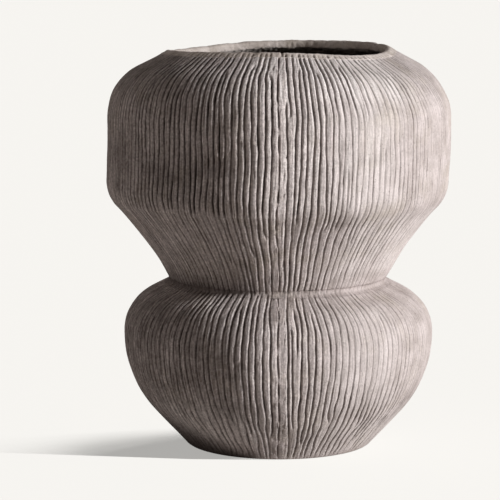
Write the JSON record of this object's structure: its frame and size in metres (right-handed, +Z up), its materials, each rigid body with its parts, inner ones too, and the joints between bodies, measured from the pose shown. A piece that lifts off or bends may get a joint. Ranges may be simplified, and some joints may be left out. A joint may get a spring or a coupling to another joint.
{
  "type": "urn vase",
  "caption": "Open two-lobed urn vase of matte combed clay with a rounded drum, tight waist and squat bowl, to stand and hold flowers.",
  "frame": {"origin": "centre of the standing ring, on the surface that the vase stands on", "axes": "+Z up along the vase's axis, the front with its seam faces -Y"},
  "size_m": [0.343, 0.343, 0.4],
  "materials": {
    "combed_clay": "matte, combed into upright ridges",
    "slip": "matte, smeared",
    "plain_clay": "matte, wiped smooth",
    "inner_glaze": "dull dark glaze"
  },
  "bodies": {
    "root": {"upper_left_shell": "combed_clay", "upper_right_shell": "combed_clay", "lower_left_shell": "combed_clay", "lower_right_shell": "combed_clay", "upper_front_seam": "slip", "upper_rear_seam": "slip", "lower_front_seam": "slip", "lower_rear_seam": "slip", "waist_coil": "slip", "rim_coil": "plain_clay", "floor_slab": "plain_clay", "inner_glaze": "inner_glaze"}
  },
  "joints": []
}
